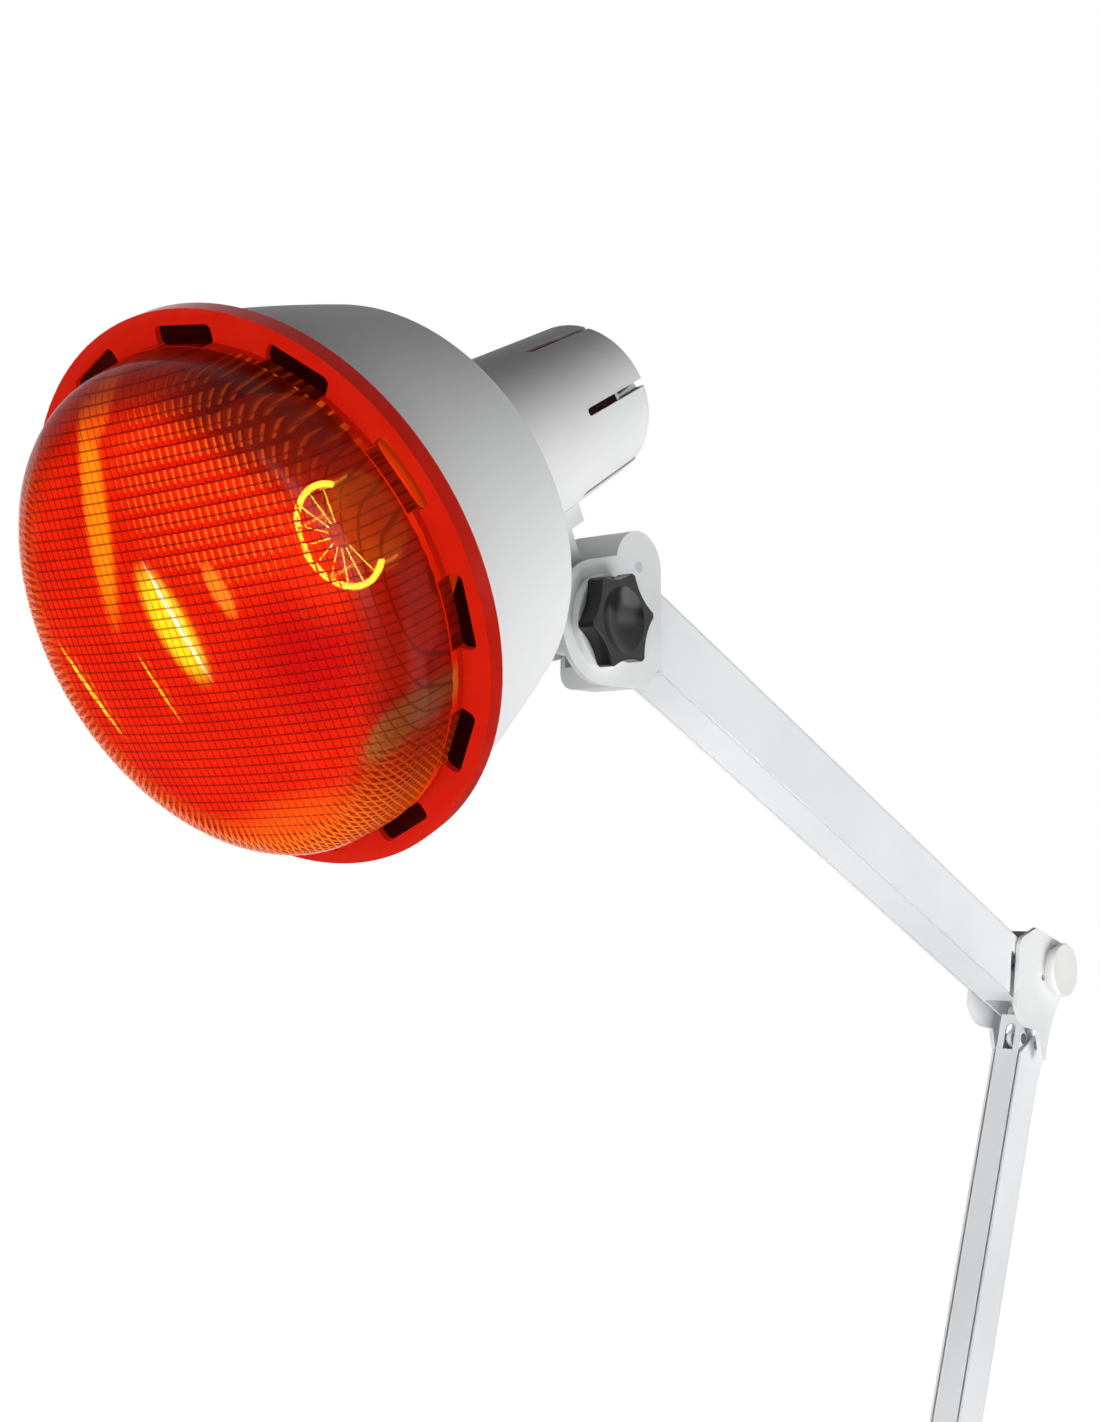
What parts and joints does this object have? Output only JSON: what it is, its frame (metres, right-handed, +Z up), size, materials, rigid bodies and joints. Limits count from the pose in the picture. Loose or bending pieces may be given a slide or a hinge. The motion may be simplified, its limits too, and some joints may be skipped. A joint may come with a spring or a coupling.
{
  "type": "infrared heat lamp",
  "caption": "Heat lamp head with a slotted red filter and tapering white hood on a balanced double arm, clamped by a star knob, with a spigot pin at its foot.",
  "frame": {"origin": "centre of the shoulder of the spigot pin, where it meets the stand", "axes": "+X forwards, the way the lamp shines at rest; +Y to the side of the star knob; +Z up, so the spigot pin points to -Z"},
  "size_m": [0.6851, 0.2176, 0.8133],
  "materials": {
    "white_shade": "white powder coat, satin",
    "white_sheet": "white powder coat, satin",
    "white_casting": "white powder coat, satin",
    "white_plastic": "smooth",
    "red_filter": "clear red, ribbed inside",
    "black_plastic": "smooth, half gloss",
    "steel": "bright zinc",
    "brass": "bright",
    "fibre": "pressed fibre",
    "rubber": "matt",
    "ceramic": "glazed ceramic",
    "bulb_glass": "clear, silvered inside behind",
    "filament": "tungsten wire"
  },
  "bodies": {
    "base": {"base_block": "white_casting", "spigot_pin": "steel", "base_arm_pin": "steel", "base_link_pin": "steel"},
    "lower_arm": {"lower_channel": "white_sheet", "lower_post": "steel", "lower_spring": "steel"},
    "lower_link": {"lower_link": "white_sheet", "lower_link_post": "steel"},
    "elbow": {"elbow_bracket": "white_casting", "elbow_cap": "white_plastic", "elbow_pin": "steel", "elbow_link_pin": "steel", "elbow_lower_pin": "steel", "elbow_lower_link_pin": "steel"},
    "upper_arm": {"upper_channel": "white_sheet", "upper_post": "steel", "upper_spring": "steel"},
    "upper_link": {"upper_link": "white_sheet", "upper_link_post": "steel"},
    "knuckle": {"knuckle": "white_casting", "knuckle_arm_pin": "steel", "knuckle_link_pin": "steel", "tilt_bolt": "steel", "tilt_washers": "fibre"},
    "head": {"red_filter": "red_filter", "hood": "white_shade", "rear_housing": "white_shade", "housing_screws": "steel", "housing_nuts": "steel", "cable_grommet": "rubber", "bulb_glass": "bulb_glass", "bulb_cap": "brass", "filament": "filament", "filament_stem": "bulb_glass", "filament_supports": "filament", "lampholder": "ceramic", "holder_sleeve": "brass", "holder_contact": "brass", "holder_plate": "steel", "plate_screws": "steel", "head_bracket": "white_casting", "saddle_screws": "steel"},
    "knob": {"star_knob": "black_plastic", "knob_insert": "brass"}
  },
  "joints": [
    {"name": "lower_lift", "type": "hinge", "parent": "base", "child": "lower_arm", "pos_m": [-0.006, 0, 0.052], "axis": [0, 1, 0], "range_deg": [-22, 22], "deforming": ["lower_spring"]},
    {"name": "lower_link_turn", "type": "hinge", "parent": "base", "child": "lower_link", "pos_m": [0.00478, 0, 0.05629], "axis": [0, 1, 0], "range_deg": [-22, 22]},
    {"name": "elbow_level", "type": "hinge", "parent": "lower_arm", "child": "elbow", "pos_m": [-0.1539, 0, 0.42365], "axis": [0, 1, 0], "range_deg": [-22, 22]},
    {"name": "upper_lift", "type": "hinge", "parent": "elbow", "child": "upper_arm", "pos_m": [-0.1669, 0, 0.46565], "axis": [0, 1, 0], "range_deg": [-20, 30], "deforming": ["upper_spring"]},
    {"name": "upper_link_turn", "type": "hinge", "parent": "elbow", "child": "upper_link", "pos_m": [-0.16022, 0, 0.44003], "axis": [0, 1, 0], "range_deg": [-20, 30]},
    {"name": "knuckle_level", "type": "hinge", "parent": "upper_arm", "child": "knuckle", "pos_m": [0.22031, 0, 0.65034], "axis": [0, 1, 0], "range_deg": [-30, 20]},
    {"name": "head_tilt", "type": "hinge", "parent": "knuckle", "child": "head", "pos_m": [0.24631, 0, 0.62384], "axis": [0, 1, 0], "range_deg": [-25, 50]},
    {"name": "knob_turn", "type": "hinge", "parent": "knuckle", "child": "knob", "pos_m": [0.24631, 0, 0.62384], "axis": [0, 1, 0], "range_deg": [0, 360]}
  ],
  "couplings": [
    {"joint": "lower_link_turn", "follows": "lower_lift", "ratio": 1},
    {"joint": "elbow_level", "follows": "lower_lift", "ratio": -1},
    {"joint": "upper_link_turn", "follows": "upper_lift", "ratio": 1},
    {"joint": "knuckle_level", "follows": "upper_lift", "ratio": -1}
  ]
}
